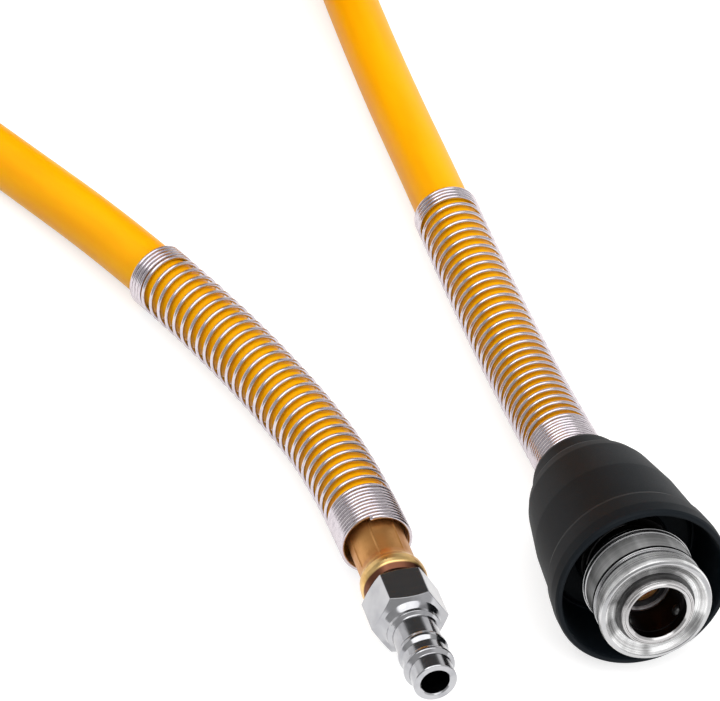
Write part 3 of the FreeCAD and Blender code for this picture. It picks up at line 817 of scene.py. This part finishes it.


# Metal turned on a lathe: fine lines round it, because the noise runs fast along the outline and
# slowly round it, and a duller cloud over parts of it. Inside a painted-light patch, the eased fans
# and lines together say how far its colour has come from its shade: painted highlight and shade.
def turnedMetal(name, work):
    finish = finishes[name]
    material, start = newMaterial(name)
    lines = noteNoise(start, **work["lines"])
    dull = noteNoise(start, **work["cloud"]).between(*work["dullRange"])
    tint = dull.blend(colour(*finish["colour"]), colour(*finish["dull"]))
    rough = lines.between(*work["lineRange"]) * finish["spread"]
    rough = rough + dull * work["dullRough"] + finish["rough"]
    metallic = 1.0
    if finish["paintedLightPatches"]:
        distance = outlineDistance(start)
        # Painted highlight and shade: bright and dark fans round the axis, mixed with the turning
        # lines
        paintedLightShare = noteNoise(start, **work["paintedLightFans"]).between(*work["fanRange"]) * work["fanShare"]
        paintedLightShare = paintedLightShare + lines.between(*work["fanLineRange"]) * (1 - work["fanShare"])
    for paintedPatch in finish["paintedLightPatches"]:
        inside = distance.between(paintedPatch["from"], paintedPatch["from"] + work["paintedPatchBlur"])
        inside = inside * (1 - distance.between(paintedPatch["to"] - work["paintedPatchBlur"], paintedPatch["to"]))
        paintedPatchTint = paintedLightShare.blend(colour(*paintedPatch["shade"]), colour(*paintedPatch["colour"]))
        tint = inside.blend(tint, paintedPatchTint)
        metallic = metallic - inside * (1 - paintedPatch["metallic"])
        rough = rough + inside * paintedPatch["rough"]
    values = {"Base Color": tint, "Metallic": metallic, "Roughness": rough}
    closeMaterial(start, values, lines, finish["bump"], work["depth"])
    return material


wireLook = {
    "streaks": {"stretch": (0.05, 2.2, 2.2)},
    "spots": {"stretch": (0.5, 1.2, 1.2), "detail": 4.0, "rough": 0.6},
    "colour": (0.62, 0.57, 0.60), "dull": (0.42, 0.37, 0.41), "dullRange": (0.45, 0.75),
    "rough": 0.12, "streakRough": 0.12, "dullRough": 0.08, "bump": 0.12, "depth": 0.00005,
}


# Drawn and plated spring wire: streaks that run along the wire, and a lilac cast that deepens in
# the dull spots
def wireMetal(look):
    material, start = newMaterial("springWire")
    streaks = noteNoise(start, **look["streaks"])
    dull = noteNoise(start, **look["spots"]).between(*look["dullRange"])
    rough = streaks * look["streakRough"] + dull * look["dullRough"] + look["rough"]
    values = {
        "Base Color": dull.blend(colour(*look["colour"]), colour(*look["dull"])),
        "Metallic": 1.0,
        "Roughness": rough,
    }
    closeMaterial(start, values, streaks, look["bump"], look["depth"])
    return material


brassLook = {
    "cloud": {"stretch": (0.16, 1.6, 1.6), "detail": 4.0, "rough": 0.6},
    "rubbed": {"stretch": (0.25, 7.0, 7.0)}, "dullRange": (0.40, 0.72),
    "recessEnd": 5.7, "crimpStart": 9.2, "blur": 0.4,
    # The recess colour is dark red-brown: partly tarnish, partly painted shade
    "recess": (0.15, 0.06, 0.035), "lip": (0.80, 0.54, 0.22), "dullLip": (0.62, 0.37, 0.12),
    "crimp": (0.62, 0.31, 0.10), "dullCrimp": (0.46, 0.20, 0.06),
    "rough": 0.25, "rubbedRough": 0.14, "dullRough": 0.12, "crimpRough": 0.10,
    "bump": 0.15, "depth": 0.00008,
}


# Crimped brass: the lip pale gold, the recess in front of it dark red-brown, partly tarnish and
# partly painted shade, and the crimped part copper brown, duller in clouds and rubbed lengthwise.
# The outline's distance, in millimetres, tells the three apart.
def brassMetal(look):
    material, start = newMaterial("ferruleBrass")
    distance = outlineDistance(start)
    rubbed = noteNoise(start, **look["rubbed"])
    dull = noteNoise(start, **look["cloud"]).between(*look["dullRange"])
    blur = look["blur"]
    lip = distance.between(look["recessEnd"] - blur, look["recessEnd"])
    crimped = distance.between(look["crimpStart"] - blur, look["crimpStart"] + 2 * blur)
    pale = dull.blend(colour(*look["lip"]), colour(*look["dullLip"]))
    copper = dull.blend(colour(*look["crimp"]), colour(*look["dullCrimp"]))
    # The recess's face in front of the lip: tarnish darkened with painted shade
    front = lip.blend(colour(*look["recess"]), pale)
    rough = rubbed * look["rubbedRough"] + dull * look["dullRough"]
    rough = rough + crimped * look["crimpRough"] + look["rough"]
    values = {"Base Color": crimped.blend(front, copper), "Metallic": 1.0, "Roughness": rough}
    closeMaterial(start, values, rubbed, look["bump"], look["depth"])
    return material


hoseLook = {
    "lines": {"stretch": (0.01, 6.0, 6.0)}, "cloud": {"stretch": (0.02, 0.9, 0.9)},
    "grain": {"scale": 2600.0, "detail": 2.0},
    "colour": (0.93, 0.43, 0.0), "deep": (0.87, 0.36, 0.0), "deepRange": (0.35, 0.75),
    "rough": 0.30, "lineRough": 0.10, "grainRough": 0.10,
    "glow": 0.2, "glowRadius": (1.0, 0.45, 0.05), "glowScale": 0.002, "specular": 0.12,
    "lineShare": 0.7, "bump": 0.10, "depth": 0.00006,
}


# Extruded plastic hose: faint lengthwise lines, slow clouds of a deeper orange, a soft inner glow
def hosePlastic(look):
    material, start = newMaterial("hosePlastic")
    lines = noteNoise(start, **look["lines"])
    deeper = noteNoise(start, **look["cloud"]).between(*look["deepRange"])
    grain = objectNoise(start, **look["grain"])
    values = {
        "Base Color": deeper.blend(colour(*look["colour"]), colour(*look["deep"])),
        "Roughness": lines * look["lineRough"] + grain * look["grainRough"] + look["rough"],
        "Subsurface Weight": look["glow"],
        "Subsurface Radius": look["glowRadius"],
        "Subsurface Scale": look["glowScale"],
        "Specular IOR Level": look["specular"],
    }
    height = lines * look["lineShare"] + grain * (1 - look["lineShare"])
    closeMaterial(start, values, height, look["bump"], look["depth"])
    return material


bootLook = {
    "pebble": {"scale": 3400.0, "rough": 0.6},
    "rubbed": {"stretch": (0.10, 1.4, 1.4), "detail": 4.0, "rough": 0.6},
    "colour": (0.003, 0.005, 0.0072), "worn": (0.008, 0.010, 0.0122), "wornRange": (0.45, 0.85),
    "rough": 0.46, "pebbleRough": 0.12, "rubbedRough": 0.10, "specular": 0.13,
    "bump": 0.18, "depth": 0.00008,
}


# Moulded rubber: matt, a fine pebble, greyer where it has been rubbed
def bootRubber(look):
    material, start = newMaterial("bootRubber")
    pebble = objectNoise(start, **look["pebble"])
    rubbed = noteNoise(start, **look["rubbed"])
    worn = rubbed.between(*look["wornRange"])
    values = {
        "Base Color": worn.blend(colour(*look["colour"]), colour(*look["worn"])),
        "Roughness": pebble * look["pebbleRough"] + rubbed * look["rubbedRough"] + look["rough"],
        "Specular IOR Level": look["specular"],
    }
    closeMaterial(start, values, pebble, look["bump"], look["depth"])
    return material


# What the plain finishes share, then each one's two colours, metallic and roughness
plainWork = {
    "cloud": {"scale": 700.0, "detail": 4.0, "rough": 0.6}, "range": (0.4, 0.7), "spread": 0.15,
    "bump": 0.08, "depth": 0.00004,
}
plainFinishes = {
    "ballSteel": ((0.10, 0.10, 0.10), (0.07, 0.07, 0.07), 1.0, 0.35),
    "adapterSteel": ((0.56, 0.56, 0.57), (0.48, 0.48, 0.49), 1.0, 0.25),
    # Painted shade: the coupler's inner spring wire is made near black, as dark as the shade inside
    # the coupler
    "innerWirePaintedShade": ((0.09, 0.09, 0.09), (0.06, 0.06, 0.06), 1.0, 0.3),
    "sealRubber": ((0.016, 0.016, 0.018), (0.03, 0.03, 0.032), 0.0, 0.35),
    "washerPlastic": ((0.35, 0.35, 0.36), (0.28, 0.28, 0.29), 0.0, 0.4),
}


# Even metal or rubber with a cloud on Object coordinates, for small, hidden and carried-over pieces
def plainFinish(name, work):
    main, second, metallic, rough = plainFinishes[name]
    material, start = newMaterial(name)
    cloud = objectNoise(start, **work["cloud"])
    values = {
        "Base Color": cloud.between(*work["range"]).blend(colour(*main), colour(*second)),
        "Metallic": metallic,
        "Roughness": cloud * work["spread"] + rough,
    }
    closeMaterial(start, values, cloud, work["bump"], work["depth"])
    return material


sleeveNickel = turnedMetal("sleeveNickel", latheWork)
plugNickel = turnedMetal("plugNickel", latheWork)
barrelSteel = turnedMetal("barrelSteel", latheWork)
seatBrass = turnedMetal("seatBrass", latheWork)
springWire = wireMetal(wireLook)
ferruleBrass = brassMetal(brassLook)
hoseYellow = hosePlastic(hoseLook)
bootBlack = bootRubber(bootLook)
ballSteel = plainFinish("ballSteel", plainWork)
adapterSteel = plainFinish("adapterSteel", plainWork)
innerWirePaintedShade = plainFinish("innerWirePaintedShade", plainWork)
sealRubber = plainFinish("sealRubber", plainWork)
washerPlastic = plainFinish("washerPlastic", plainWork)
print("materials made")


# What stands for what

# Piece, material, CAD nodes it stands for, body it rides on, material slot in the record
dressing = [
    (hose, hoseYellow, ["hose_run_plug_end", "hose_coil", "hose_run_coupler_end"],
     "hose_assembly", "hose"),
    (plugBendSpring, springWire, ["bend_spring_plug_end"], "hose_assembly", "spring_steel"),
    (couplerBendSpring, springWire, ["bend_spring_coupler_end"], "hose_assembly", "spring_steel"),
    (plugFerrule, ferruleBrass, ["ferrule_plug_end"], "hose_assembly", "ferrule_brass"),
    (couplerFerrule, ferruleBrass, ["ferrule_coupler_end"], "hose_assembly", "ferrule_brass"),
    (plugNipple, plugNickel, ["plug_nipple"], "hose_assembly", "plated_steel"),
    (couplerBarrel, barrelSteel, ["coupler_barrel"], "hose_assembly", "barrel_steel"),
    (lockingSleeve, sleeveNickel, ["locking_sleeve"], "sleeve", "sleeve_nickel"),
    (plugSeal, sealRubber, ["plug_seal"], "hose_assembly", "seal_rubber"),
    (valveSeat, seatBrass, ["valve_seat"], "hose_assembly", "inner_brass"),
    (valvePoppet, seatBrass, ["valve_poppet"], "valve", "inner_brass"),
    (rubberBoot, bootBlack, ["coupler_boot"], "hose_assembly", "boot_rubber"),
    (sleeveSpring, innerWirePaintedShade, ["sleeve_spring"], "hose_assembly", "inner_spring"),
    (valveSpring, innerWirePaintedShade, ["valve_spring"], "hose_assembly", "inner_spring"),
]
for piece, material, nodes, body, slot in dressing:
    piece.data.materials.append(material)
    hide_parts(*nodes)
    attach(piece, body)

for piece, joint in ((sleeveSpring, "sleeve_slide"), (valveSpring, "valve_slide")):
    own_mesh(piece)

keptNodes = {
    "locking_ball_1": ballSteel, "locking_ball_2": ballSteel, "locking_ball_3": ballSteel,
    "retaining_ring": ballSteel,
    "valve_seal": sealRubber, "rear_adapter": adapterSteel, "thread_seal": washerPlastic,
}
for node, material in keptNodes.items():
    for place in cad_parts[node].material_slots:
        place.material = material

print("pieces dressed")


# Floor, sky and lamps

floorLook = {
    "half": 4.0, "level": -0.00005, "glow": 0.64, "grain": 40.0, "colour": 0.55, "fleck": 0.98,
}


# A flat sheet just under the part. It shines white to the camera, to mirrors and through glass, and
# its matt surface takes the part's shadow.
def buildFloor(look):
    half = look["half"]
    low = look["level"]
    corners = [(-half, -half, low), (half, -half, low), (half, half, low), (-half, half, low)]
    mesh = bpy.data.meshes.new("floor")
    mesh.from_pydata(corners, [], [(0, 1, 2, 3)])
    floor = bpy.data.objects.new("floor", mesh)
    bpy.context.scene.collection.objects.link(floor)
    material, start = newMaterial("whiteFloor")
    byCamera = start.node("ShaderNodeLightPath")
    seen = byCamera + byCamera.other("Is Glossy Ray") + byCamera.other("Is Transmission Ray")
    shine = {"Color": colour(1, 1, 1), "Strength": seen * look["glow"]}
    glow = start.node("ShaderNodeEmission", None, shine)
    shade = look["colour"]
    fleck = shade * look["fleck"]
    grain = objectNoise(start, look["grain"])
    tint = grain.blend(colour(shade, shade, shade), colour(fleck, fleck, fleck))
    matt = start.node("ShaderNodeBsdfDiffuse", None, {"Color": tint})
    both = start.node("ShaderNodeAddShader", None, {0: glow, 1: matt})
    start.node("ShaderNodeOutputMaterial", None, {0: both})
    mesh.materials.append(material)


# Strengths of the sky's parts and the ranges over which their edges are eased: what a direction
# shares with right, back or up. The slits lie side by side along slitAcross, and the softbox is
# placed and sized in degrees.
skyLook = {
    "around": 0.48,
    "horizon": 0.95, "horizonBack": (0.2, 0.5), "horizonTop": (0.30, 0.45),
    "gap": 0.07, "gapBack": (0.1, 0.4), "gapBottom": (0.34, 0.46), "gapTop": (0.78, 0.84),
    "gapRight": (0.26, 0.44),
    "wall": 0.8, "wallLeft": (0.35, 0.65), "wallBack": (0.0, 0.35), "wallBottom": (-0.02, 0.08),
    "slit": 1.6, "slitAcross": (-0.240, -0.817, 0.524), "slitPlaces": (0.0, 0.075),
    "slitHalf": 0.014, "slitCore": 0.6, "slitRight": (-0.42, -0.36),
    "softbox": 2.1, "softboxBack": -6.0, "softboxHalf": 38.0, "softboxBlur": 0.03,
}


# Sky by direction: white to the camera. For the part it is a pale horizon behind, a dark gap over
# that with two narrow slits of light on the left, a round softbox overhead, a light wall on the
# right in front and plain grey elsewhere. Each part is the product of its eased edges times its
# strength less the grey's, and the slits add their whole strength.
def buildSky(look):
    world = bpy.data.worlds.new("studioSky")
    bpy.context.scene.world = world
    world.use_nodes = True
    world.node_tree.nodes.clear()
    start = Signal(world.node_tree)
    direction = start.node("ShaderNodeTexCoord", output=0)
    right = start.node("ShaderNodeSeparateXYZ", None, {0: direction})
    back = right.other(1)
    up = right.other(2)

    # What the direction shares with a vector: their dot product
    def shared(vector):
        values = {0: direction, 1: vector}
        return start.node("ShaderNodeVectorMath", {"operation": "DOT_PRODUCT"}, values, 1)

    pale = back.between(*look["horizonBack"]) * (1 - up.between(*look["horizonTop"]))
    gap = back.between(*look["gapBack"]) * up.between(*look["gapBottom"])
    gap = gap * (1 - up.between(*look["gapTop"])) * (1 - right.between(*look["gapRight"]))
    wall = right.between(*look["wallLeft"]) * (1 - back.between(*look["wallBack"]))
    wall = wall * up.between(*look["wallBottom"])
    strength = look["around"] + pale * (look["horizon"] - look["around"])
    strength = strength - gap * (look["around"] - look["gap"])
    strength = strength + wall * (look["wall"] - look["around"])
    across = shared(look["slitAcross"])
    leftGap = gap * (1 - right.between(*look["slitRight"]))
    for place in look["slitPlaces"]:
        core = look["slitHalf"] * look["slitCore"]
        slit = (1 - abs(across - place).between(core, look["slitHalf"])) * leftGap
        strength = strength + slit * look["slit"]
    tilt = math.radians(look["softboxBack"])
    edge = math.cos(math.radians(look["softboxHalf"]))
    overhead = shared((0, math.sin(tilt), math.cos(tilt)))
    box = overhead.between(edge - look["softboxBlur"], edge + look["softboxBlur"])
    strength = strength + box * (look["softbox"] - look["around"])
    byCamera = start.node("ShaderNodeLightPath")
    strength = byCamera + (1 - byCamera) * strength
    shine = {"Color": colour(1, 1, 1), "Strength": strength}
    glow = start.node("ShaderNodeBackground", None, shine)
    start.node("ShaderNodeOutputWorld", None, {0: glow})


lamps = {
    "overhead": {"place": (-0.25, -0.35, 0.9), "size": 0.22, "power": 0.6, "mirrored": True},
    "rightFill": {"place": (0.55, -0.5, 0.3), "size": 0.4, "power": 3.4, "mirrored": False},
}


# Square lamp turned towards the origin; one that isn't mirrored stays out of reflections
def buildLamp(name, lamp):
    data = bpy.data.lights.new(name, "AREA")
    data.size = lamp["size"]
    data.energy = lamp["power"]
    holder = bpy.data.objects.new(name, data)
    holder.location = lamp["place"]
    across, back, height = lamp["place"]
    tilt = math.atan2(math.hypot(across, back), height)
    holder.rotation_euler = (tilt, 0, math.atan2(across, -back))
    holder.visible_glossy = lamp["mirrored"]
    bpy.context.scene.collection.objects.link(holder)


buildFloor(floorLook)
buildSky(skyLook)
for lampName, lampFacts in lamps.items():
    buildLamp(lampName, lampFacts)
bpy.context.scene.view_settings.view_transform = "Standard"
print("stage lit")
